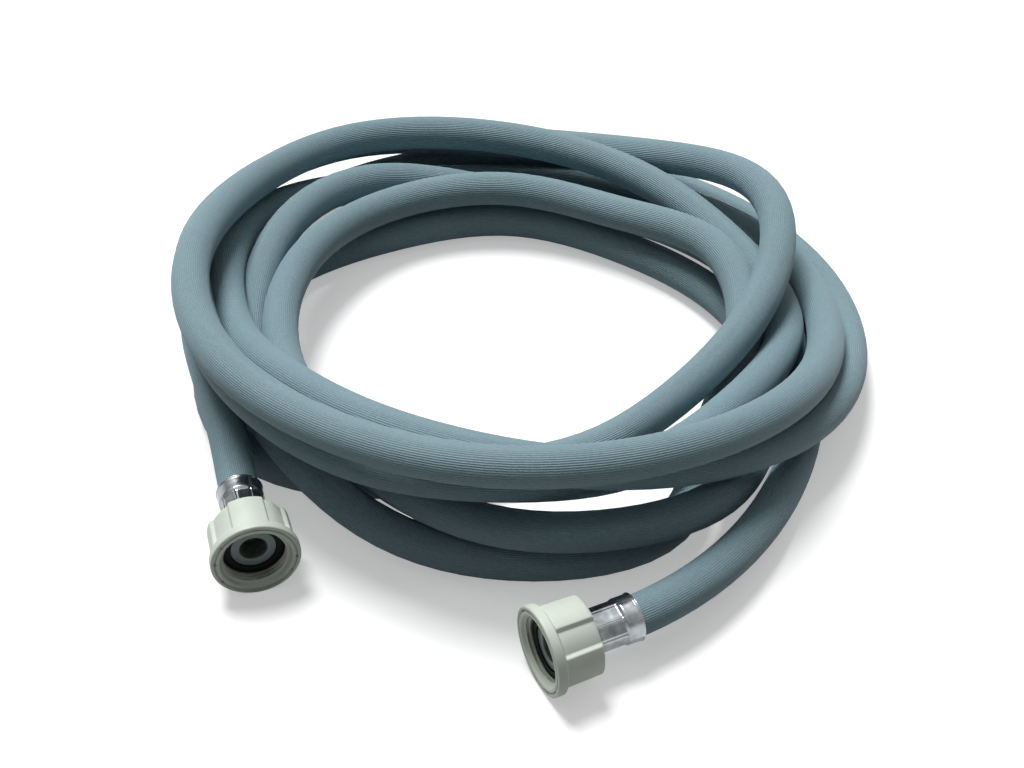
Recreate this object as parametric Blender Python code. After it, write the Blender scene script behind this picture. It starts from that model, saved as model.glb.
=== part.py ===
"""Washing machine inlet hose, lying in a loose coil on the floor.

The ribbed rubber hose makes almost seven turns that weave over and under each other.
Each end has a moulded tail reaching into the hose, a metal ferrule crimped round both,
a rubber washer on the tail's spigot, and a plastic union nut that spins on the tail.
Units in the tables are millimetres; +Z is up and the floor is z = 0.
"""
import math

import bpy
import numpy as np
from mathutils import Matrix, Vector

MM = 0.001

# Gap between pieces that touch, and the looser gap of a piece that turns or is squeezed in
CLEAR = 0.3
LOOSE = 0.4

# Hose
HOSE_OD = 15.8
HOSE_WALL = 3.0
HOSE_R = HOSE_OD / 2
BEVEL_RESOLUTION = 3
HOSE_SIDES = 2 * (BEVEL_RESOLUTION + 2)

# The coil: its middle on the floor, and where the first turn starts, clockwise from +Y
COIL_MIDDLE = (-2.3, 8.4)
FIRST_BEARING = 240
BEARING_STEP = 30
POINTS_PER_STEP = 2

# One row for each turn, from end a to end b: (distance from the middle, height of the centre line)
TURNS = (
    ((132, 24), (135, 25), (152, 11), (163, 8), (165, 8), (161, 8),
     (157, 8), (147, 14), (134, 28), (119, 41), (115, 56), (107, 55)),
    ((107, 46), (120, 32), (143, 30), (148, 15), (145, 8), (143, 12),
     (142, 17), (135, 27), (130, 44), (127, 57), (130, 66), (124, 61)),
    ((129, 60), (135, 57), (145, 47), (156, 38), (144, 33), (131, 28),
     (121, 24), (118, 26), (103, 26), (100, 27), (109, 39), (115, 40)),
    ((124, 44), (135, 41), (161, 31), (171, 27), (157, 23), (151, 31),
     (134, 50), (106, 43), (81, 25), (67, 10), (68, 8), (86, 8)),
    ((121, 8), (131, 8), (125, 8), (113, 8), (110, 8), (102, 8),
     (104, 9), (110, 10), (116, 9), (129, 24), (120, 25), (103, 24)),
    ((98, 28), (100, 28), (107, 28), (114, 25), (110, 26), (103, 26),
     (106, 32), (100, 25), (96, 10), (120, 8), (120, 8), (117, 14)),
    ((115, 26), (114, 16), (125, 29), (134, 27), (127, 11), (127, 8),
     (128, 8), (127, 8), (133, 9)),
)

# Radii at an end. The crimp squeezes the hose, whose flats then leave room for the barbed stem.
CRIMP_SQUEEZE = 0.9
SQUEEZED_R = HOSE_R * CRIMP_SQUEEZE
CRIMP_IN_R = SQUEEZED_R + CLEAR
FERRULE_T = 0.55
CRIMP_FLAT_R = CRIMP_IN_R + FERRULE_T
CRIMP_CORNER_R = CRIMP_FLAT_R + 0.3
CRIMP_SIDES = 8
BELL_IN_R = HOSE_R + CLEAR
BELL_R = BELL_IN_R + FERRULE_T + 0.25
BELL_FLARE = 0.3

NECK_R = CRIMP_IN_R - LOOSE
STEM_BARB_R = (SQUEEZED_R - HOSE_WALL) * math.cos(math.pi / HOSE_SIDES) - LOOSE
BARB_HEIGHT = 0.4
STEM_ROOT_R = STEM_BARB_R - BARB_HEIGHT
STEM_WALL = 0.9
TAIL_BORE_R = STEM_ROOT_R - STEM_WALL

# The nut is made for a 3/4 inch tap thread; the washer, flange and spigot fit inside its bore
NUT_BORE_R = 12.4
MOUTH_CHAMFER = 1.0
NUT_WALL = 2.4
LOBE_STEP = 1.4
RING_STEP = 1.1
EDGE = 0.8
RECESS_R = NUT_BORE_R + NUT_WALL
LOBE_R = RECESS_R + LOBE_STEP
NUT_RING_R = LOBE_R + RING_STEP
NUT_COLLAR_R = NECK_R + 2 * LOOSE
NUT_LOBES = 4
LOBE_OFFSETS = (-24, -12, 0, 12, 24)
RECESS_OFFSETS = (29, 37, 45, 53, 61)

WASHER_OUT_R = NUT_BORE_R - LOOSE
WASHER_WIDTH = 3.0
WASHER_IN_R = WASHER_OUT_R - WASHER_WIDTH
SPIGOT_R = WASHER_IN_R - CLEAR
FLANGE_R = WASHER_OUT_R - 2 * LOOSE
SPIGOT_WALL = 3.4
TAIL_MOUTH_R = SPIGOT_R - SPIGOT_WALL

# Depths along an end's axis, measured back from the plane of the nut's mouth
WASHER_FACE = 6.0
WASHER_T = 3.0
SPIGOT_SINK = 0.6
FLANGE_T = 2.9
COLLAR_T = 7.0
CRIMP_LENGTH = 13.0
BELL_LENGTH = 6.3
STEM_LENGTH = 16.3
NUT_RING_T = 4.0
BARB_PITCH = 3.6
BARB_FLAT = 0.6
LIP = 1.2

WASHER_BACK = WASHER_FACE + WASHER_T
SPIGOT_FACE = WASHER_FACE + SPIGOT_SINK
FLANGE_FACE = WASHER_BACK + CLEAR
FLANGE_BACK = FLANGE_FACE + FLANGE_T
NUT_BORE_DEPTH = FLANGE_BACK + CLEAR
NUT_LENGTH = NUT_BORE_DEPTH + COLLAR_T
FERRULE_FRONT = NUT_LENGTH + CLEAR
NECK_END = FERRULE_FRONT + CLEAR
HOSE_START = NECK_END + CLEAR
STEM_END = HOSE_START + STEM_LENGTH
CRIMP_END = FERRULE_FRONT + CRIMP_LENGTH
FERRULE_BACK = CRIMP_END + BELL_LENGTH
STEP_OUT = 0.6
SQUEEZE_END = CRIMP_END + STEP_OUT
FULL_FROM = SQUEEZE_END + 2 * STEP_OUT

# The two ends: the middle of the nut's mouth, the way the mouth looks (degrees from +X,
# counter-clockwise), how far the top lobe leans over from straight up, how far the crimp's
# flats are turned from the lobes, and how far the nut has slid back along the tail
ENDS = {
    "a": {"mouth": (-98.6, -120.8), "heading": -73.7, "lean": 0.5, "crimp": -6.0, "slid": 0.0},
    "b": {"mouth": (6.8, -166.0), "heading": -154.2, "lean": -5.5, "crimp": -15.0, "slid": 2.2},
}


def clear_scene():
    """Start from an empty scene."""
    for obj in list(bpy.data.objects):
        bpy.data.objects.remove(obj, do_unlink=True)


def material(name, colour, roughness, metallic=0.0):
    """A plain Principled material."""
    mat = bpy.data.materials.new(name)
    mat.use_nodes = True
    shader = mat.node_tree.nodes["Principled BSDF"]
    shader.inputs["Base Color"].default_value = (*colour, 1.0)
    shader.inputs["Roughness"].default_value = roughness
    shader.inputs["Metallic"].default_value = metallic
    mat.diffuse_color = (*colour, 1.0)
    return mat


def even_angles(count):
    """Angles in degrees of a turned shape with equal sides."""
    return [360.0 * i / count for i in range(count)]


def lobe_angles():
    """Angles of the nut's outline: five points across each lobe, five across each recess."""
    pitch = 360.0 / NUT_LOBES
    offsets = LOBE_OFFSETS + RECESS_OFFSETS
    return [(pitch * k + o) % 360.0 for k in range(NUT_LOBES) for o in offsets]


def lobe_radii(shrink=0.0):
    """Radii of the nut's outline, in step with lobe_angles."""
    one = [LOBE_R] * len(LOBE_OFFSETS) + [RECESS_R] * len(RECESS_OFFSETS)
    return [r - shrink for r in one * NUT_LOBES]


def crimp_radii(angles):
    """Radii of the crimped ferrule: eight flats with rounded corners between them."""
    side = 360.0 / CRIMP_SIDES
    radii = []
    for a in angles:
        off = (a + side / 2) % side - side / 2
        radii.append(min(CRIMP_FLAT_R / math.cos(math.radians(off)), CRIMP_CORNER_R))
    return radii


def turned(name, profile, angles, mat, end):
    """Spin a closed profile of (depth, radius) round an end's axis.

    The profile runs outwards along the mouth's face, back along the outside and home through
    the bore; a radius may also be a list with one value for each angle.
    """
    count = len(angles)
    verts = []
    for depth, radius in profile:
        for i, a in enumerate(angles):
            r = radius[i] if isinstance(radius, list) else radius
            t = math.radians(a)
            verts.append((r * math.cos(t) * MM, r * math.sin(t) * MM, -depth * MM))
    faces = []
    for k in range(len(profile)):
        here = k * count
        after = (k + 1) % len(profile) * count
        for i in range(count):
            j = (i + 1) % count
            faces.append((here + i, after + i, after + j, here + j))
    mesh = bpy.data.meshes.new(name)
    mesh.from_pydata(verts, [], faces)
    mesh.materials.append(mat)
    mesh.update()
    mesh.shade_smooth()
    mesh.set_sharp_from_angle(angle=math.radians(35))
    obj = bpy.data.objects.new(name, mesh)
    bpy.context.scene.collection.objects.link(obj)
    obj.parent = end
    return obj


def direction(heading):
    """Unit vector on the floor for a heading in degrees."""
    t = math.radians(heading)
    return Vector((math.cos(t), math.sin(t), 0.0))


def end_frame(key):
    """An empty at the middle of a nut's mouth: +Z looks out of the mouth, +X up its top lobe."""
    spec = ENDS[key]
    out = direction(spec["heading"])
    up = Vector((0.0, 0.0, 1.0))
    side = out.cross(up)
    lean = math.radians(spec["lean"])
    top = up * math.cos(lean) - side * math.sin(lean)
    across = out.cross(top)
    turn = Matrix((top, across, out)).transposed().to_4x4()
    place = Matrix.Translation(Vector((*spec["mouth"], NUT_RING_R)) * MM)
    frame = bpy.data.objects.new("end_" + key, None)
    frame.matrix_world = place @ turn
    bpy.context.scene.collection.objects.link(frame)
    return frame


def on_axis(key, depth):
    """The point on an end's axis at a depth behind the mouth, in millimetres."""
    spec = ENDS[key]
    back = Vector((*spec["mouth"], NUT_RING_R)) - direction(spec["heading"]) * depth
    return tuple(back)


def union_nut(key, mat, end):
    """Nut with a round mouth ring, four grip lobes, a wide bore and a collar at the back."""
    profile = [
        (0.0, NUT_BORE_R + MOUTH_CHAMFER), (0.0, NUT_RING_R - EDGE), (EDGE, NUT_RING_R),
        (NUT_RING_T - EDGE / 2, NUT_RING_R), (NUT_RING_T, lobe_radii()),
        (NUT_LENGTH - EDGE, lobe_radii()), (NUT_LENGTH, lobe_radii(EDGE)),
        (NUT_LENGTH, NUT_COLLAR_R), (NUT_BORE_DEPTH, NUT_COLLAR_R),
        (NUT_BORE_DEPTH, NUT_BORE_R), (MOUTH_CHAMFER, NUT_BORE_R),
    ]
    return turned("union_nut_" + key, profile, lobe_angles(), mat, end)


def washer(key, mat, end):
    """Flat rubber ring that lies on the tail's flange."""
    slid = ENDS[key]["slid"]
    face, back = WASHER_FACE - slid, WASHER_BACK - slid
    profile = [(face, WASHER_IN_R), (face, WASHER_OUT_R), (back, WASHER_OUT_R), (back, WASHER_IN_R)]
    return turned("washer_" + key, profile, even_angles(40), mat, end)


def hose_tail(key, mat, end):
    """Moulded tail: spigot, flange, neck for the nut's collar, barbed stem, and a bore through."""
    slid = ENDS[key]["slid"]
    spigot, face, back = SPIGOT_FACE - slid, FLANGE_FACE - slid, FLANGE_BACK - slid
    profile = [
        (spigot, TAIL_MOUTH_R), (spigot, SPIGOT_R), (face, SPIGOT_R), (face, FLANGE_R),
        (back, FLANGE_R), (back, NECK_R), (NECK_END, NECK_R), (NECK_END, STEM_ROOT_R),
    ]
    barb = NECK_END + BARB_FLAT
    while barb + BARB_PITCH < STEM_END:
        slope_end = barb + BARB_PITCH - BARB_FLAT
        profile += [(barb, STEM_ROOT_R), (barb, STEM_BARB_R), (slope_end, STEM_ROOT_R)]
        barb += BARB_PITCH
    profile += [
        (STEM_END, STEM_ROOT_R), (STEM_END, TAIL_BORE_R),
        (NUT_LENGTH, TAIL_BORE_R), (face, TAIL_MOUTH_R),
    ]
    return turned("hose_tail_" + key, profile, even_angles(32), mat, end)


def ferrule(key, mat, end):
    """Thin metal sleeve: a crimped grip with eight flats, then a plain bell with a flared lip."""
    even = even_angles(32)
    angles = [a + ENDS[key]["crimp"] for a in even]
    grip = crimp_radii(even)
    profile = [
        (FERRULE_FRONT, CRIMP_IN_R), (FERRULE_FRONT, grip), (CRIMP_END, grip),
        (CRIMP_END + STEP_OUT, BELL_R), (FERRULE_BACK - LIP, BELL_R),
        (FERRULE_BACK, BELL_R + BELL_FLARE), (FERRULE_BACK, BELL_IN_R + BELL_FLARE),
        (FERRULE_BACK - LIP, BELL_IN_R), (CRIMP_END + STEP_OUT / 2, BELL_IN_R),
        (CRIMP_END, CRIMP_IN_R),
    ]
    return turned("ferrule_" + key, profile, angles, mat, end)


def coil_points():
    """The coil's points in space, one for each table entry."""
    points = []
    bearing = FIRST_BEARING
    for turn in TURNS:
        for radius, height in turn:
            t = math.radians(bearing)
            x = COIL_MIDDLE[0] + radius * math.sin(t)
            y = COIL_MIDDLE[1] + radius * math.cos(t)
            points.append((x, y, height))
            bearing += BEARING_STEP
    return points


def spline_weights(knots, wanted):
    """Natural cubic spline through values at the knots, as weights of those values."""
    n = len(knots)
    h = np.diff(knots)
    left = np.eye(n)
    right = np.zeros((n, n))
    for i in range(1, n - 1):
        left[i, i - 1:i + 2] = h[i - 1], 2 * (h[i - 1] + h[i]), h[i]
        right[i, i - 1:i + 2] = 6 / h[i - 1], -6 / h[i - 1] - 6 / h[i], 6 / h[i]
    bend = np.linalg.solve(left, right)
    seg = np.clip(np.searchsorted(knots, wanted, side="right") - 1, 0, n - 2)
    step = h[seg]
    a = (knots[seg + 1] - wanted) / step
    b = 1 - a
    rows = np.arange(len(wanted))
    weights = ((a**3 - a) * step**2 / 6)[:, None] * bend[seg]
    weights += ((b**3 - b) * step**2 / 6)[:, None] * bend[seg + 1]
    weights[rows, seg] += a
    weights[rows, seg + 1] += b
    return weights


def hose_line():
    """Points and radius factors of the hose's centre line, end a to end b, in millimetres."""
    head = [on_axis("a", d) for d in (HOSE_START, SQUEEZE_END, FULL_FROM, FERRULE_BACK)]
    tail = [on_axis("b", d) for d in (FERRULE_BACK, FULL_FROM, SQUEEZE_END, HOSE_START)]
    knots = np.array([head[0], head[-1]] + coil_points() + [tail[0], tail[-1]])
    steps = np.linalg.norm(np.diff(knots, axis=0), axis=1)
    along = np.concatenate([[0.0], np.cumsum(steps)])
    wanted = []
    for i in range(1, len(along) - 2):
        for k in range(POINTS_PER_STEP):
            wanted.append(along[i] + (along[i + 1] - along[i]) * k / POINTS_PER_STEP)
    line = spline_weights(along, np.array(wanted[1:])) @ knots
    line[:, 2] = np.maximum(line[:, 2], HOSE_R)
    points = head + [tuple(p) for p in line] + tail
    squeeze = [CRIMP_SQUEEZE] * 2 + [1.0] * (len(points) - 4) + [CRIMP_SQUEEZE] * 2
    return points, squeeze


def hose(mat):
    """The hollow hose: a bevelled curve with a wall of its own, open at both ends."""
    points, squeeze = hose_line()
    curve = bpy.data.curves.new("hose", "CURVE")
    curve.dimensions = "3D"
    curve.bevel_depth = HOSE_R * MM
    curve.bevel_resolution = BEVEL_RESOLUTION
    spline = curve.splines.new("POLY")
    spline.points.add(len(points) - 1)
    for target, p, factor in zip(spline.points, points, squeeze):
        target.co = (p[0] * MM, p[1] * MM, p[2] * MM, 1.0)
        target.radius = factor
    curve.materials.append(mat)
    obj = bpy.data.objects.new("hose", curve)
    bpy.context.scene.collection.objects.link(obj)
    wall = obj.modifiers.new("wall", "SOLIDIFY")
    wall.thickness = HOSE_WALL * MM
    wall.offset = -1.0
    return obj


def build():
    """Make every piece."""
    clear_scene()
    rubber = material("blue_grey_hose_rubber", (0.16, 0.20, 0.26), 0.5)
    plastic = material("off_white_nylon", (0.74, 0.79, 0.72), 0.4)
    clear = material("milky_tail_plastic", (0.58, 0.64, 0.68), 0.35)
    black = material("black_washer_rubber", (0.015, 0.016, 0.018), 0.6)
    chrome = material("bright_plated_metal", (0.78, 0.79, 0.80), 0.2, 1.0)
    hose(rubber)
    for key in ENDS:
        end = end_frame(key)
        union_nut(key, plastic, end)
        hose_tail(key, clear, end)
        washer(key, black, end)
        ferrule(key, chrome, end)


build()
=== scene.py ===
"""Washing machine inlet hose lying in a loose coil: its surfaces, finishes, light and camera.

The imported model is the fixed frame. Every surface here is worked out in millimetres on a numpy
grid, in the frame's own axes, and turned to metres when its mesh is made.
"""
import math

import bpy
import numpy as np
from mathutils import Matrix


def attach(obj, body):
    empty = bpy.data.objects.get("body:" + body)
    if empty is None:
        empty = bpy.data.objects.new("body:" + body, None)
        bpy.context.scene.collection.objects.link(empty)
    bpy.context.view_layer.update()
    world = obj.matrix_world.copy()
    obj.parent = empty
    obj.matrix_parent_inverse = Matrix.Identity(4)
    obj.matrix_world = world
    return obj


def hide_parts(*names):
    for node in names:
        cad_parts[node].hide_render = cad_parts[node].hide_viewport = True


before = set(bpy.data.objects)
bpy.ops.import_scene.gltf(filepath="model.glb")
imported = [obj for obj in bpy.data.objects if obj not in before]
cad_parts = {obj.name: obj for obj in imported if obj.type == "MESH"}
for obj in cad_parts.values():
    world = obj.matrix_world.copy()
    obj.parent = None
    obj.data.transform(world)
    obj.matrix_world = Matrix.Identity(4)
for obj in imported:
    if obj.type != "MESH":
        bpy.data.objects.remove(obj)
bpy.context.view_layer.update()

MM = 0.001

# Route of the hose, as the CAD has it
HOSE_R = 7.9
HOSE_WALL = 3.0
COIL_MIDDLE = (-2.3, 8.4)
FIRST_BEARING = 240
BEARING_STEP = 30
TURNS = (
    ((132, 24), (135, 25), (152, 11), (163, 8), (165, 8), (161, 8),
     (157, 8), (147, 14), (134, 28), (119, 41), (115, 56), (107, 55)),
    ((107, 46), (120, 32), (143, 30), (148, 15), (145, 8), (143, 12),
     (142, 17), (135, 27), (130, 44), (127, 57), (130, 66), (124, 61)),
    ((129, 60), (135, 57), (145, 47), (156, 38), (144, 33), (131, 28),
     (121, 24), (118, 26), (103, 26), (100, 27), (109, 39), (115, 40)),
    ((124, 44), (135, 41), (161, 31), (171, 27), (157, 23), (151, 31),
     (134, 50), (106, 43), (81, 25), (67, 10), (68, 8), (86, 8)),
    ((121, 8), (131, 8), (125, 8), (113, 8), (110, 8), (102, 8),
     (104, 9), (110, 10), (116, 9), (129, 24), (120, 25), (103, 24)),
    ((98, 28), (100, 28), (107, 28), (114, 25), (110, 26), (103, 26),
     (106, 32), (100, 25), (96, 10), (120, 8), (120, 8), (117, 14)),
    ((115, 26), (114, 16), (125, 29), (134, 27), (127, 11), (127, 8),
     (128, 8), (127, 8), (133, 9)),
)
NUT_RING_R = 17.3
ENDS = {
    "a": {"mouth": (-98.6, -120.8), "heading": -73.7, "lean": 0.5, "crimp": -6.0, "slid": 0.0},
    "b": {"mouth": (6.8, -166.0), "heading": -154.2, "lean": -5.5, "crimp": -15.0, "slid": 2.2},
}

# Depths behind the nut's mouth and radii round an end's axis, as the CAD has them
WASHER_FACE = 6.0
WASHER_BACK = 9.0
WASHER_IN_R = 9.0
WASHER_OUT_R = 12.0
SPIGOT_FACE = 6.6
SPIGOT_R = 8.7
FLANGE_FACE = 9.3
FLANGE_BACK = 12.2
FLANGE_R = 11.2
NECK_R = 7.01
NUT_BORE_DEPTH = 12.5
NUT_LENGTH = 19.5
NUT_COLLAR_R = 7.81
RECESS_R = 14.8
LOBE_STEP = 1.4
LOBES = 4
FERRULE_FRONT = 19.8
NECK_END = 20.1
HOSE_START = 20.4
CRIMP_END = 32.8
SQUEEZE_END = 33.4
FULL_FROM = 34.6
STEM_END = 36.7
FERRULE_BACK = 39.1
CRIMP_SQUEEZE = 0.9
CRIMP_IN_R = 7.41
CRIMP_FLAT_R = 7.96
CRIMP_SIDES = 8
BELL_IN_R = 8.2
BELL_R = 9.0


# Vectors, profiles and meshes
def direction(heading):
    """Unit vector on the floor: (cos h, sin h, 0) for a heading h in degrees."""
    t = math.radians(heading)
    return np.array((math.cos(t), math.sin(t), 0.0))


def end_axes(key):
    """Middle of the mouth and three unit vectors: up the top lobe, across, out of the mouth."""
    spec = ENDS[key]
    out = direction(spec["heading"])
    up = np.array((0.0, 0.0, 1.0))
    lean = math.radians(spec["lean"])
    top = up * math.cos(lean) - np.cross(out, up) * math.sin(lean)
    return np.array((*spec["mouth"], NUT_RING_R)), top, np.cross(out, top), out


def round_axis(key, depth, radius, angles):
    """Points at mouth - depth * out + radius * (cos a * top + sin a * across), for whole arrays."""
    mouth, top, across, out = end_axes(key)
    a = np.radians(angles)
    spoke = np.cos(a)[..., None] * top + np.sin(a)[..., None] * across
    return mouth - depth[..., None] * out + radius[..., None] * spoke


def filleted(corners, fillet, steps=4):
    """Closed profile with each corner replaced by the parabola through its two cut-back points.

    A corner row holds depth, radius and any further values, which are blended the same way.
    """
    p = np.array(corners, float)
    before = np.roll(p, 1, axis=0) - p
    after = np.roll(p, -1, axis=0) - p
    reach = []
    for side in (before, after):
        length = np.linalg.norm(side[:, :2], axis=1)
        cut = np.minimum(fillet, 0.45 * length) / length
        reach.append(side * cut[:, None])
    s = np.linspace(0.0, 1.0, steps)[:, None, None]
    arc = p + (1 - s) ** 2 * reach[0] + s**2 * reach[1]
    return arc.transpose(1, 0, 2).reshape(-1, p.shape[1])


def dense(profile, longest):
    """The same closed profile with extra rows wherever two neighbours lie further apart."""
    rows = []
    for p, q in zip(profile, np.roll(profile, -1, axis=0)):
        count = max(1, math.ceil(np.linalg.norm((q - p)[:2]) / longest))
        rows.append(p + (q - p) * (np.arange(count) / count)[:, None])
    return np.concatenate(rows)


def ring_mesh(name, points, along=None, grime_and_shade=None):
    """Mesh of a grid (rows, columns, 3) that closes on itself both ways, faces outwards.

    The UV map holds the share of the way round the columns and the distance along the rows in mm;
    an attribute holds how much darker tone lies at each point: brown dirt, and painted shade in the
    bores.
    """
    m, n = points.shape[:2]
    i = np.arange(m)[:, None]
    j = np.arange(n)[None]
    i2, j2 = (i + 1) % m, (j + 1) % n
    quads = np.stack([i * n + j, i * n + j2, i2 * n + j2, i2 * n + j], axis=-1).reshape(-1, 4)
    flat = points.reshape(-1, 3)
    p, q, r, s = (flat[quads[:, k]] for k in range(4))
    volume = np.einsum("ij,ij->", p, np.cross(q, r) + np.cross(r, s))
    u = np.broadcast_to(np.stack([j, j + 1, j + 1, j], axis=-1) / n, (m, n, 4))
    if along is None:
        along = np.arange(m, dtype=float)
    ends = np.append(along, 2 * along[-1] - along[-2])
    v = np.stack([ends[:-1], ends[:-1], ends[1:], ends[1:]], axis=-1)[:, None]
    uv = np.stack([u, np.broadcast_to(v, (m, n, 4))], axis=-1).reshape(-1, 4, 2)
    if volume < 0:
        quads = quads[:, ::-1]
        uv = uv[:, ::-1]
    mesh = bpy.data.meshes.new(name)
    mesh.vertices.add(len(flat))
    mesh.vertices.foreach_set("co", (flat * MM).ravel())
    mesh.loops.add(quads.size)
    mesh.loops.foreach_set("vertex_index", quads.ravel())
    mesh.polygons.add(len(quads))
    mesh.polygons.foreach_set("loop_start", np.arange(len(quads)) * 4)
    mesh.update(calc_edges=True)
    mesh.uv_layers.new(name="UVMap").data.foreach_set("uv", uv.ravel())
    if grime_and_shade is not None:
        dirt_and_shade = mesh.attributes.new("grime_and_shade", "FLOAT", "POINT")
        dirt_and_shade.data.foreach_set("value", grime_and_shade.astype(np.float32).ravel())
    mesh.shade_smooth()
    return mesh


def piece(name, mesh, material, body):
    """A finished piece at the origin, with its material and body."""
    mesh.materials.append(material)
    obj = bpy.data.objects.new(name, mesh)
    bpy.context.scene.collection.objects.link(obj)
    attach(obj, body)
    return obj


# Camera
CAMERA_PLACE = (-0.0023, -0.56864, 0.480)
CAMERA_DOWN = 40.0
FOCAL_PIXELS = 1700
PICTURE_WIDTH = 1024


def set_camera():
    """The photograph's view, along +Y and down; the focal length is in pixels of the picture."""
    data = bpy.data.cameras.new("camera")
    data.sensor_fit = "HORIZONTAL"
    data.sensor_width = 36.0
    data.lens = FOCAL_PIXELS / PICTURE_WIDTH * data.sensor_width
    data.clip_start = 0.01
    data.clip_end = 20.0
    obj = bpy.data.objects.new("camera", data)
    obj.location = CAMERA_PLACE
    obj.rotation_euler = (math.radians(90 - CAMERA_DOWN), 0.0, 0.0)
    bpy.context.scene.collection.objects.link(obj)
    bpy.context.scene.camera = obj


# Materials
def linear(code, alpha=1.0):
    """Linear colour of an sRGB hex value."""
    parts = [int(code[k:k + 2], 16) / 255 for k in (1, 3, 5)]
    return (*(c / 12.92 if c <= 0.04045 else ((c + 0.055) / 1.055) ** 2.4 for c in parts), alpha)


def add(tree, kind, settings=None, stops=(), **links):
    """Add a node with its properties, a ramp's (place, hex) stops, and its inputs.

    An input is given by name, or as i and its number, and takes a value or another socket.
    """
    node = tree.nodes.new(kind)
    for key, value in (settings or {}).items():
        setattr(node, key, value)
    for k, (place, code) in enumerate(stops):
        bar = node.color_ramp.elements
        element = bar[k] if k < len(bar) else bar.new(place)
        element.position = place
        element.color = linear(code)
    for key, value in links.items():
        number = key[1:]
        socket = node.inputs[int(number) if number.isdigit() else key.replace("_", " ")]
        if isinstance(value, bpy.types.NodeSocket):
            tree.links.new(value, socket)
        else:
            socket.default_value = value
    return node


def cells(size):
    """Noise scale whose blots are this many millimetres across."""
    return 1 / (size * MM)


def seen_directly(tree):
    """1 for what the eye sees straight, mirrored or through something clear, 0 for soft light."""
    ray = add(tree, "ShaderNodeLightPath")
    either = add(tree, "ShaderNodeMath", {"operation": "MAXIMUM"},
                 i0=ray.outputs["Is Camera Ray"], i1=ray.outputs["Is Glossy Ray"])
    any_of_three = add(tree, "ShaderNodeMath", {"operation": "MAXIMUM"},
                       i0=either.outputs[0], i1=ray.outputs["Is Transmission Ray"])
    return any_of_three.outputs[0]


def finish(name):
    """A new material with its node tree and its Principled shader."""
    mat = bpy.data.materials.new(name)
    mat.use_nodes = True
    tree = mat.node_tree
    return mat, tree, tree.nodes["Principled BSDF"]


RIBS = 56
RIB_DEPTH = 0.12


def hose_finish():
    """Extruded soft PVC: satin, slightly clouded, its fine lengthwise flutes paler on the crest.

    The real skin's grain is under 0.1 mm; here it is 1.1 mm, the finest that still shows.
    """
    mat, tree, shader = finish("extruded_ribbed_pvc")
    uv = add(tree, "ShaderNodeUVMap", {"uv_map": "UVMap"})
    split = add(tree, "ShaderNodeSeparateXYZ", Vector=uv.outputs[0])
    turn = add(tree, "ShaderNodeMath", {"operation": "MULTIPLY"},
               i0=split.outputs["X"], i1=RIBS * math.tau)
    wave = add(tree, "ShaderNodeMath", {"operation": "COSINE"}, i0=turn.outputs[0])
    crest = add(tree, "ShaderNodeMapRange", i0=wave.outputs[0], i1=-1.0, i2=1.0)
    where = add(tree, "ShaderNodeTexCoord")
    cloud = add(tree, "ShaderNodeTexNoise", Vector=where.outputs["Object"], Scale=cells(45), Detail=3.0)
    grain = add(tree, "ShaderNodeTexNoise", Vector=where.outputs["Object"], Scale=cells(1.1), Detail=2.0)
    base = add(tree, "ShaderNodeValToRGB", stops=((0.3, "#7B949C"), (0.7, "#849DA6")),
               Fac=cloud.outputs["Fac"])
    # Flute crests paler than the valleys, the same all round the hose
    crest_tone = add(tree, "ShaderNodeValToRGB", stops=((0.35, "#829BA4"), (0.75, "#97AEB6")),
               Fac=grain.outputs["Fac"])
    rib = add(tree, "ShaderNodeMix", {"data_type": "RGBA"},
              i0=crest.outputs[0], i6=base.outputs["Color"], i7=crest_tone.outputs["Color"])
    tree.links.new(rib.outputs[2], shader.inputs["Base Color"])
    sheen = add(tree, "ShaderNodeMapRange", i0=grain.outputs["Fac"], i1=0.3, i2=0.7, i3=0.42, i4=0.56)
    tree.links.new(sheen.outputs[0], shader.inputs["Roughness"])
    fine = add(tree, "ShaderNodeBump", Strength=0.35, Distance=0.0001, Height=grain.outputs["Fac"])
    flute = add(tree, "ShaderNodeBump", Strength=0.3, Distance=0.00012, Height=crest.outputs[0],
                Normal=fine.outputs[0])
    tree.links.new(flute.outputs[0], shader.inputs["Normal"])
    shader.inputs["Specular IOR Level"].default_value = 0.12
    return mat


def soiled_and_shaded(tree, colour, where, dirt_and_shade):
    """The colour, tinted in uneven spots towards a darker one by the attribute of dirt and painted
    shade.
    """
    grime_and_shade = add(tree, "ShaderNodeAttribute", {"attribute_name": "grime_and_shade"})
    spots = add(tree, "ShaderNodeTexNoise", Vector=where, Scale=cells(2.4), Detail=3.0)
    uneven = add(tree, "ShaderNodeMapRange", i0=spots.outputs["Fac"], i1=0.35, i2=0.65, i3=0.55, i4=1.15)
    share = add(tree, "ShaderNodeMath", {"operation": "MULTIPLY", "use_clamp": True},
                i0=grime_and_shade.outputs["Fac"], i1=uneven.outputs[0])
    mixed = add(tree, "ShaderNodeMix", {"data_type": "RGBA"},
                i0=share.outputs[0], i6=colour, i7=linear(dirt_and_shade))
    return mixed.outputs[2]


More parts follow.
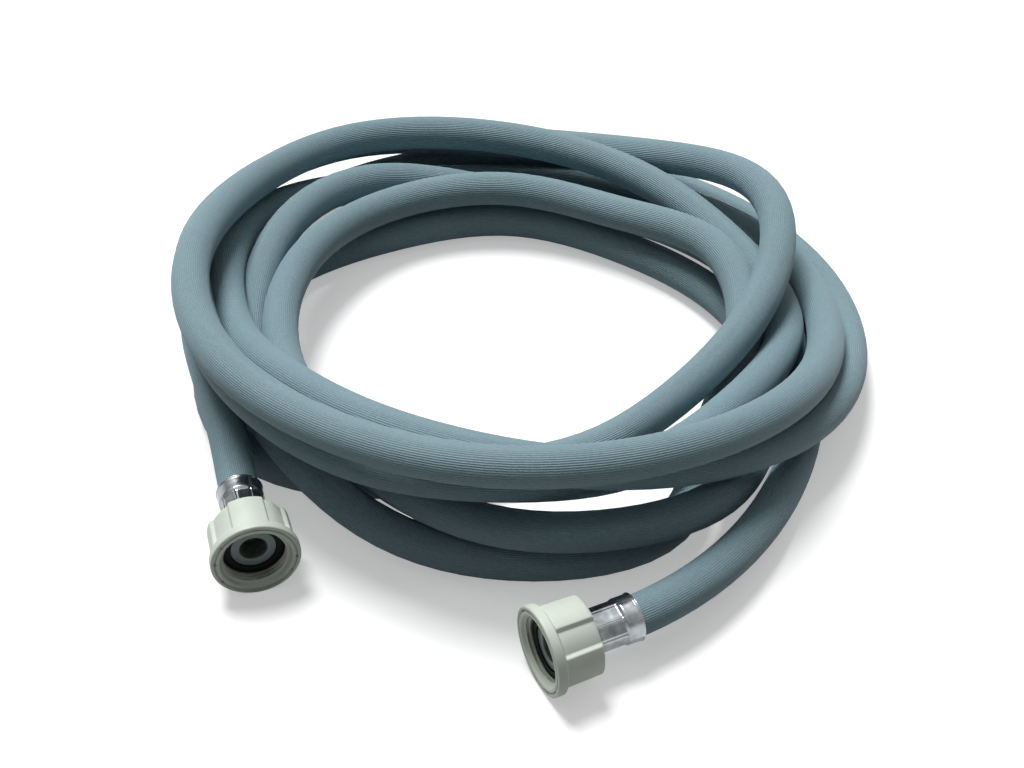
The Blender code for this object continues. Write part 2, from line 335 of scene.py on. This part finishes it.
def nut_finish():
    """Moulded polyamide: pale, faintly green and satin, with a soft depth, old brown dirt, and painted
    shade deep in its bore.

    The mould's spark-eroded grain is about 0.1 mm; it is drawn at 1.4 mm so that it shows.
    """
    mat, tree, shader = finish("moulded_polyamide")
    where = add(tree, "ShaderNodeTexCoord")
    cloud = add(tree, "ShaderNodeTexNoise", Vector=where.outputs["Object"], Scale=cells(17), Detail=4.0)
    speck = add(tree, "ShaderNodeTexNoise", Vector=where.outputs["Object"], Scale=cells(1.4), Detail=2.0)
    colour = add(tree, "ShaderNodeValToRGB", stops=((0.3, "#CDD7CB"), (0.7, "#D8E1D5")),
                 Fac=cloud.outputs["Fac"])
    # Painted shade deeper in the bore, with brown dirt in the thread, the groove and the dimples
    stained_and_shaded = soiled_and_shaded(tree, colour.outputs["Color"], where.outputs["Object"], "#7C7256")
    tree.links.new(stained_and_shaded, shader.inputs["Base Color"])
    rough = add(tree, "ShaderNodeMapRange", i0=speck.outputs["Fac"], i1=0.3, i2=0.7, i3=0.36, i4=0.46)
    tree.links.new(rough.outputs[0], shader.inputs["Roughness"])
    bump = add(tree, "ShaderNodeBump", Strength=0.15, Distance=0.00008, Height=speck.outputs["Fac"])
    tree.links.new(bump.outputs[0], shader.inputs["Normal"])
    shader.inputs["Subsurface Weight"].default_value = 0.15
    shader.inputs["Subsurface Radius"].default_value = (0.0012, 0.0011, 0.0009)
    shader.inputs["Subsurface Scale"].default_value = 1.0
    return mat


def tail_finish():
    """Unpigmented polypropylene: milky grey and waxy, with flow clouds; painted shade makes its bore
    dull and olive.
    """
    mat, tree, shader = finish("milky_polypropylene")
    where = add(tree, "ShaderNodeTexCoord")
    cloud = add(tree, "ShaderNodeTexNoise", Vector=where.outputs["Object"], Scale=cells(6.6), Detail=3.0)
    colour = add(tree, "ShaderNodeValToRGB", stops=((0.3, "#788A8D"), (0.7, "#89999B")),
                 Fac=cloud.outputs["Fac"])
    # Painted shade: the bore is tinted a darker olive
    stained_and_shaded = soiled_and_shaded(tree, colour.outputs["Color"], where.outputs["Object"], "#6E7064")
    tree.links.new(stained_and_shaded, shader.inputs["Base Color"])
    bump = add(tree, "ShaderNodeBump", Strength=0.1, Distance=0.0001, Height=cloud.outputs["Fac"])
    tree.links.new(bump.outputs[0], shader.inputs["Normal"])
    shader.inputs["Roughness"].default_value = 0.32
    shader.inputs["Subsurface Weight"].default_value = 0.3
    shader.inputs["Subsurface Radius"].default_value = (0.0015, 0.0016, 0.0018)
    shader.inputs["Subsurface Scale"].default_value = 1.0
    return mat


def washer_finish():
    """Black nitrile rubber, cut from sheet: nearly black and matt, its fine grain drawn at 0.8 mm."""
    mat, tree, shader = finish("black_nitrile")
    where = add(tree, "ShaderNodeTexCoord")
    grain = add(tree, "ShaderNodeTexNoise", Vector=where.outputs["Object"], Scale=cells(0.8), Detail=3.0)
    colour = add(tree, "ShaderNodeValToRGB", stops=((0.3, "#040505"), (0.7, "#090A0A")),
                 Fac=grain.outputs["Fac"])
    tree.links.new(colour.outputs["Color"], shader.inputs["Base Color"])
    bump = add(tree, "ShaderNodeBump", Strength=0.3, Distance=0.0001, Height=grain.outputs["Fac"])
    tree.links.new(bump.outputs[0], shader.inputs["Normal"])
    shader.inputs["Roughness"].default_value = 0.6
    shader.inputs["Specular IOR Level"].default_value = 0.12
    return mat


def ferrule_finish():
    """Nickel-plated steel pressed in a crimping tool: bright, with cloudy dull spots of 3.8 mm."""
    mat, tree, shader = finish("nickel_plated_steel")
    where = add(tree, "ShaderNodeTexCoord")
    blot = add(tree, "ShaderNodeTexNoise", Vector=where.outputs["Object"], Scale=cells(3.8), Detail=4.0)
    colour = add(tree, "ShaderNodeValToRGB", stops=((0.3, "#8D9295"), (0.7, "#B0B4B7")),
                 Fac=blot.outputs["Fac"])
    tree.links.new(colour.outputs["Color"], shader.inputs["Base Color"])
    rough = add(tree, "ShaderNodeMapRange", i0=blot.outputs["Fac"], i1=0.3, i2=0.75, i3=0.14, i4=0.3)
    tree.links.new(rough.outputs[0], shader.inputs["Roughness"])
    bump = add(tree, "ShaderNodeBump", Strength=0.25, Distance=0.0002, Height=blot.outputs["Fac"])
    tree.links.new(bump.outputs[0], shader.inputs["Normal"])
    shader.inputs["Metallic"].default_value = 1.0
    return mat


# Hose
def coil_points():
    """The coil's points: middle + distance * (sin b, cos b), b the bearing, at their heights."""
    table = np.array([pair for turn in TURNS for pair in turn], float)
    b = np.radians(FIRST_BEARING + BEARING_STEP * np.arange(len(table)))
    x = COIL_MIDDLE[0] + table[:, 0] * np.sin(b)
    y = COIL_MIDDLE[1] + table[:, 0] * np.cos(b)
    return np.stack([x, y, table[:, 1]], axis=1)


def spline_weights(knots, wanted):
    """Natural cubic spline through values at the knots, as weights of those values."""
    n = len(knots)
    h = np.diff(knots)
    left = np.eye(n)
    right = np.zeros((n, n))
    for i in range(1, n - 1):
        left[i, i - 1:i + 2] = h[i - 1], 2 * (h[i - 1] + h[i]), h[i]
        right[i, i - 1:i + 2] = 6 / h[i - 1], -6 / h[i - 1] - 6 / h[i], 6 / h[i]
    bend = np.linalg.solve(left, right)
    seg = np.clip(np.searchsorted(knots, wanted, side="right") - 1, 0, n - 2)
    step = h[seg]
    a = (knots[seg + 1] - wanted) / step
    b = 1 - a
    rows = np.arange(len(wanted))
    weights = ((a**3 - a) * step**2 / 6)[:, None] * bend[seg]
    weights += ((b**3 - b) * step**2 / 6)[:, None] * bend[seg + 1]
    weights[rows, seg] += a
    weights[rows, seg + 1] += b
    return weights


def on_axis(key, depth):
    """Point on an end's axis at a depth behind the mouth."""
    mouth, _, _, out = end_axes(key)
    return mouth - out * depth


# A row of the surface about every 8.4 mm, every third of them along the bore
HOSE_ROW = 8.4
BORE_ROWS = 3

# Depths and shares of the full radius where the hose swells out of the crimp
SWELL = ((HOSE_START, CRIMP_SQUEEZE), (CRIMP_END, CRIMP_SQUEEZE), (SQUEEZE_END, 0.915),
         (34.0, 0.97), (FULL_FROM, 1.0))

# Distance that the UV map allows for the hose's cut end, from its skin to its bore
END_GAP = 6.0


def hose_line():
    """Centre line and its share of the full radius: straight in the ferrules, a spline between."""
    crimp, squeeze = np.array(SWELL).T
    head = np.array([on_axis("a", d) for d in crimp])
    tail = np.array([on_axis("b", d) for d in crimp[::-1]])
    first, last = on_axis("a", FERRULE_BACK), on_axis("b", FERRULE_BACK)
    knots = np.concatenate([[head[0], first], coil_points(), [last, tail[-1]]])
    along = np.append(0.0, np.cumsum(np.linalg.norm(np.diff(knots, axis=0), axis=1)))
    count = round((along[-2] - along[1]) / HOSE_ROW)
    line = spline_weights(along, np.linspace(along[1], along[-2], count + 1)) @ knots
    line[:, 2] = np.maximum(line[:, 2], HOSE_R)
    points = np.concatenate([head, line, tail])
    share = np.concatenate([squeeze, np.ones(len(line)), squeeze[::-1]])
    return points, share


def along_line(points):
    """Distance along a line of points."""
    return np.append(0.0, np.cumsum(np.linalg.norm(np.diff(points, axis=0), axis=1)))


def hose_surface(points, share):
    """A fluted tube and its bore as one closed grid.

    Round a line point the radius is share * R, less the flute depth at every other column, in
    the plane of the level normal and the upward one; the rows then come home along the bore.
    """
    ahead = np.gradient(points, axis=0)
    ahead /= np.linalg.norm(ahead, axis=1)[:, None]
    level = np.cross(ahead, (0.0, 0.0, 1.0))
    level /= np.linalg.norm(level, axis=1)[:, None]
    upward = np.cross(level, ahead)
    home = np.arange(len(points) - 1, -1, -BORE_ROWS)
    home = np.append(home, 0) if home[-1] else home
    columns = 2 * RIBS
    a = math.tau * np.arange(columns) / columns
    flute = RIB_DEPTH * (np.arange(columns) % 2)
    outside = HOSE_R * share[:, None] - flute
    bore = (HOSE_R * share[home] - HOSE_WALL)[:, None] * np.ones(columns)
    order = np.append(np.arange(len(points)), home)
    radius = np.concatenate([outside, bore])
    spoke = np.cos(a)[:, None] * level[order, None] + np.sin(a)[:, None] * upward[order, None]
    grid = points[order, None] + radius[..., None] * spoke
    s = along_line(points)
    along = np.append(s, 2 * s[-1] + END_GAP - s[home])
    return grid, along


def make_hose(material):
    """The whole hose as one fluted tube; also its centre line."""
    points, share = hose_line()
    grid, along = hose_surface(points, share)
    mesh = ring_mesh("ribbed_hose", grid, along)
    pairs = np.empty(len(mesh.edges) * 2, dtype=np.int32)
    mesh.edges.foreach_get("vertices", pairs)
    pairs = pairs.reshape(-1, 2) % grid.shape[1]
    sharp = mesh.attributes.new("sharp_edge", "BOOLEAN", "EDGE")
    sharp.data.foreach_set("value", pairs[:, 0] == pairs[:, 1])
    hose = piece("ribbed_hose", mesh, material, "hose_body")
    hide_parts("hose")
    return hose, points


# Nuts: the thread, from its first to its last depth
THREAD_PITCH = 1.814
THREAD_CREST_R = 12.05
THREAD_ROOT_R = 13.15
THREAD_FIRST = 1.9
THREAD_LAST = 10.4
NUT_COLUMNS = 360

# Half a lobe's width and half its flank's, in degrees
LOBE_HALF = 26.5
FLANK = 2.6

# Groove round the mouth, and the degrees at which small dimples lie in it
GROOVE_R = 15.55
GROOVE_DEPTH = 0.5
DIMPLE_R = 0.5
DIMPLE_DEPTH = 0.55
DIMPLES = {"a": (52, 84, 121, 236, 262), "b": (48, 205, 234)}


def lobe_height(angles):
    """1 on the four grip lobes, 0 between them, with steep smooth flanks."""
    pitch = 360.0 / LOBES
    off = np.abs((angles + pitch / 2) % pitch - pitch / 2)
    t = np.clip((LOBE_HALF + FLANK - off) / (2 * FLANK), 0.0, 1.0)
    return t * t * (3 - 2 * t)


def nut_surface(key):
    """The nut: filleted closed profile; lobes lift its outside, a thread waves its bore.

    Values of a profile row: depth, radius, share of the lobes, share of the thread. The thread's
    radius is its middle + half its height * cos(2 pi (depth / pitch - turn)), with crests and
    roots cut flat. Each dimple sinks the groove by a bell curve of the distance from its middle.
    A browner, darker tone grows with the depth of the bore, part painted shade and part dirt; old dirt
    lies in the roots, the groove and the dimples.
    """
    middle = (THREAD_ROOT_R + THREAD_CREST_R) / 2
    outside = [
        (1.4, 13.05, 0, 0), (0.15, 13.8, 0, 0), (0.0, 14.1, 0, 0), (0.0, GROOVE_R - 0.35, 0, 0),
        (GROOVE_DEPTH, GROOVE_R - 0.15, 0, 0), (GROOVE_DEPTH, GROOVE_R + 0.15, 0, 0),
        (0.0, GROOVE_R + 0.35, 0, 0), (0.0, 16.6, 0, 0), (0.22, 17.1, 0, 0),
        (0.7, NUT_RING_R, 0, 0), (3.6, NUT_RING_R, 0, 0),
        (4.2, RECESS_R + 1.0, 0.3, 0), (4.9, RECESS_R, 1, 0), (NUT_LENGTH - 1.1, RECESS_R - 0.3, 1, 0),
        (NUT_LENGTH - 0.4, RECESS_R - 0.55, 0.9, 0), (NUT_LENGTH, RECESS_R - 1.1, 0.75, 0),
        (NUT_LENGTH, NUT_COLLAR_R + 0.3, 0, 0), (NUT_LENGTH - 0.3, NUT_COLLAR_R, 0, 0),
        (NUT_BORE_DEPTH, NUT_COLLAR_R, 0, 0), (NUT_BORE_DEPTH, THREAD_ROOT_R, 0, 0),
        (11.0, THREAD_ROOT_R, 0, 0), (THREAD_LAST, middle, 0, 1), (THREAD_FIRST, middle, 0, 1),
    ]
    rows = dense(filleted(outside, 0.25), 0.45)
    angles = 360.0 * np.arange(NUT_COLUMNS) / NUT_COLUMNS
    depth = np.repeat(rows[:, :1], NUT_COLUMNS, axis=1)
    turn = angles[None] / 360.0
    wave = np.cos(math.tau * (depth / THREAD_PITCH - turn))
    radius = rows[:, 1:2] + rows[:, 2:3] * LOBE_STEP * lobe_height(angles)[None]
    thread = rows[:, 3:4]
    inner = (radius < 14.0) & (depth < NUT_BORE_DEPTH)
    # Darker with depth into the bore, part painted shade and part dirt; dirt in the thread's roots and
    # the groove
    grime_and_shade = inner * np.clip(depth / 9.0, 0.0, 1.0) * 0.5 + thread * np.clip(wave, 0.0, 1.0) * 0.45
    grime_and_shade = grime_and_shade + 0.35 * (np.abs(radius - GROOVE_R) < 0.3) * (depth > 0.2) * (depth < 0.6)
    radius = radius + thread * (THREAD_ROOT_R - middle) * np.clip(1.5 * wave, -1, 1)
    for at in DIMPLES[key]:
        swing = np.radians((angles[None] - at + 180) % 360 - 180)
        away = np.hypot(GROOVE_R * swing, radius - GROOVE_R)
        pit = np.exp(-((away / DIMPLE_R) ** 2)) * (depth < 0.8)
        depth = depth + DIMPLE_DEPTH * pit
        grime_and_shade = grime_and_shade + 1.2 * pit
    return round_axis(key, depth, radius, np.broadcast_to(angles, depth.shape)), np.clip(grime_and_shade, 0, 1)


def turned(key, corners, fillet, columns=120, longest=2.0):
    """A filleted closed profile of (depth, radius, share of dirt and painted shade) spun round an end's
    axis.
    """
    rows = dense(filleted(corners, fillet), longest)
    angles = 360.0 * np.arange(columns) / columns
    shape = (len(rows), columns)
    depth = np.broadcast_to(rows[:, :1], shape)
    radius = np.broadcast_to(rows[:, 1:2], shape)
    grime_and_shade = np.broadcast_to(rows[:, 2:3], shape)
    return round_axis(key, depth, radius, np.broadcast_to(angles, shape)), grime_and_shade


# Hose tails: bores, and the barbs on the stem
SPIGOT_BORE_R = 5.1
CONE_R = 4.8
CONE_LENGTH = 4.0
STEM_R = 3.1
STEM_BORE_R = 2.2
BARBS = 4
BARB_R = 3.48
BARB_PITCH = 3.6
BARB_LENGTH = 3.0


def tail_surface(key):
    """The tail: spigot, flange, neck and barbed stem outside; a cone and a bore inside."""
    slid = ENDS[key]["slid"]
    spigot, face, back = SPIGOT_FACE - slid, FLANGE_FACE - slid, FLANGE_BACK - slid
    # Third value: share of the darker olive tint, which is painted shade in the bore
    corners = [
        (spigot + 2.5, SPIGOT_BORE_R, 1), (spigot + 0.4, SPIGOT_BORE_R + 0.15, 0.6),
        (spigot, SPIGOT_BORE_R + 0.4, 0), (spigot, SPIGOT_R, 0),
        (face, SPIGOT_R, 0), (face, FLANGE_R, 0), (back, FLANGE_R, 0), (back, NECK_R, 0),
        (NECK_END, NECK_R, 0), (NECK_END, STEM_R, 0),
    ]
    for k in range(BARBS):
        barb = NECK_END + 0.6 + BARB_PITCH * k
        corners += [(barb, STEM_R, 0), (barb + 0.05, BARB_R, 0), (barb + BARB_LENGTH, STEM_R, 0)]
    corners += [(STEM_END, STEM_R, 0), (STEM_END, STEM_BORE_R, 1),
                (NUT_LENGTH, STEM_BORE_R, 1), (NUT_LENGTH - CONE_LENGTH, CONE_R, 1)]
    return turned(key, corners, 0.12)


def washer_surface(key):
    """The washer: a flat ring with slightly softened edges."""
    slid = ENDS[key]["slid"]
    face, back = WASHER_FACE - slid, WASHER_BACK - slid
    corners = [(face, WASHER_IN_R, 0), (face, WASHER_OUT_R, 0),
               (back, WASHER_OUT_R, 0), (back, WASHER_IN_R, 0)]
    return turned(key, corners, 0.2)


# Ferrules: a ridge's height in mm and width in degrees, and the length of the bell's step
FERRULE_COLUMNS = 240
RIDGE = 0.3
RIDGE_WIDTH = 1.5
BELL_STEP = 1.5


def ferrule_surface(key):
    """The ferrule: eight pressed flats, ridges between them, then a round bell.

    A flat's radius is grip / cos(angle off its middle), cut at the ridge's height; a ridge is a
    bell curve of that angle; a smooth step along the depth carries both into the bell.
    """
    grip = CRIMP_FLAT_R
    corners = [
        (FERRULE_FRONT, CRIMP_IN_R, 0), (FERRULE_FRONT, grip, 1), (FERRULE_BACK - 0.9, grip, 1),
        (FERRULE_BACK - 0.2, grip + 0.35, 1), (FERRULE_BACK, grip + 0.3, 1),
        (FERRULE_BACK, CRIMP_IN_R + 0.35, 0.6), (FERRULE_BACK - 0.9, CRIMP_IN_R, 0),
    ]
    rows = dense(filleted(corners, 0.12), 0.3)
    angles = 360.0 * np.arange(FERRULE_COLUMNS) / FERRULE_COLUMNS
    side = 360.0 / CRIMP_SIDES
    off = np.abs((angles + side / 2) % side - side / 2)
    flat = np.minimum(grip / np.cos(np.radians(off)), grip + RIDGE) - grip
    ridge = RIDGE * np.exp(-(((side / 2 - off) / RIDGE_WIDTH) ** 2))
    depth = np.broadcast_to(rows[:, :1], (len(rows), FERRULE_COLUMNS))
    t = np.clip((depth - (CRIMP_END - 1.1)) / BELL_STEP, 0.0, 1.0)
    bell = t * t * (3 - 2 * t)
    swell_out = BELL_R - grip
    swell_in = BELL_IN_R - CRIMP_IN_R
    outer = rows[:, 2:3]
    radius = rows[:, 1:2] + bell * (outer * swell_out + (1 - outer) * swell_in)
    radius = radius + (1 - bell) * outer * (flat + ridge)[None]
    turned_angles = angles + ENDS[key]["crimp"]
    return round_axis(key, depth, radius, np.broadcast_to(turned_angles, depth.shape)), None


def make_end(key, looks):
    """The four pieces of one end, as a list."""
    pieces = []
    parts = (
        ("grip_nut_", nut_surface, "nut", "nut_plastic", "nut_" + key, "union_nut_"),
        ("spigot_tail_", tail_surface, "tail", "tail_plastic", "hose_body", "hose_tail_"),
        ("sealing_washer_", washer_surface, "washer", "washer_rubber", "hose_body", "washer_"),
        ("crimped_ferrule_", ferrule_surface, "ferrule", "ferrule_metal", "hose_body", "ferrule_"),
    )
    for name, surface, look, slot, body, node in parts:
        points, grime_and_shade = surface(key)
        made = piece(name + key, ring_mesh(name + key, points, grime_and_shade=grime_and_shade), looks[look], body)
        made.data.set_sharp_from_angle(angle=math.radians(40))
        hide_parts(node + key)
        pieces.append(made)
    return pieces


# Floor and light
FLOOR_SIDE = 12.0


def make_floor():
    """A white sweep: the eye sees it overexposed with soft shadows, the hose gets little from it."""
    mat, tree, shader = finish("white_studio_floor")
    shader.inputs["Roughness"].default_value = 0.9
    shader.inputs["Specular IOR Level"].default_value = 0.0
    seen = seen_directly(tree)
    paint = add(tree, "ShaderNodeMapRange", i0=seen, i3=0.3, i4=0.8)
    tree.links.new(paint.outputs[0], shader.inputs["Base Color"])
    glow = add(tree, "ShaderNodeMath", {"operation": "MULTIPLY"}, i0=seen, i1=0.4)
    shader.inputs["Emission Color"].default_value = (1.0, 1.0, 1.0, 1.0)
    tree.links.new(glow.outputs[0], shader.inputs["Emission Strength"])
    mesh = bpy.data.meshes.new("floor")
    half = FLOOR_SIDE / 2
    mesh.from_pydata([(-half, -half, 0), (half, -half, 0), (half, half, 0), (-half, half, 0)],
                     [], [(0, 1, 2, 3)])
    mesh.materials.append(mat)
    obj = bpy.data.objects.new("floor", mesh)
    bpy.context.scene.collection.objects.link(obj)


def sun(name, strength, angle, azimuth, elevation):
    """A soft distant lamp that shines from an azimuth (clockwise from +Y) and an elevation."""
    data = bpy.data.lights.new(name, "SUN")
    data.energy = strength
    data.angle = math.radians(angle)
    obj = bpy.data.objects.new(name, data)
    obj.rotation_euler = (math.radians(90 - elevation), 0.0, math.radians(180 - azimuth))
    bpy.context.scene.collection.objects.link(obj)


# Name, strength, angle across, azimuth and elevation of each lamp, in degrees
LAMPS = (
    ("key_lamp", 2.9, 24, -32, 66),
    ("overhead_lamp", 0.5, 90, -10, 70),
)


def make_light():
    """A lamp high up behind to the left, a weak wide one above, and a surround.

    The surround hardly lights the hose; polished metal mirrors its white rim and greyer middle.
    """
    for lamp in LAMPS:
        sun(*lamp)
    world = bpy.data.worlds.new("studio")
    world.use_nodes = True
    tree = world.node_tree
    ground = tree.nodes["Background"]
    where = add(tree, "ShaderNodeTexCoord")
    split = add(tree, "ShaderNodeSeparateXYZ", Vector=where.outputs["Generated"])
    sky = add(tree, "ShaderNodeValToRGB", Fac=split.outputs["Z"],
              stops=((0.1, "#FFFFFF"), (0.25, "#959595"), (1.0, "#F2F2F2")))
    tree.links.new(sky.outputs["Color"], ground.inputs["Color"])
    level = add(tree, "ShaderNodeMapRange", i0=seen_directly(tree), i3=0.12, i4=1.0)
    tree.links.new(level.outputs[0], ground.inputs["Strength"])
    bpy.context.scene.world = world
    bpy.context.scene.view_settings.view_transform = "Standard"


def main():
    """Camera and hose first, then the two ends, the floor and the light."""
    set_camera()
    hose, line = make_hose(hose_finish())
    looks = {"nut": nut_finish(), "tail": tail_finish(), "washer": washer_finish(),
             "ferrule": ferrule_finish()}
    fittings = {key: make_end(key, looks) for key in ENDS}
    make_floor()
    make_light()


main()
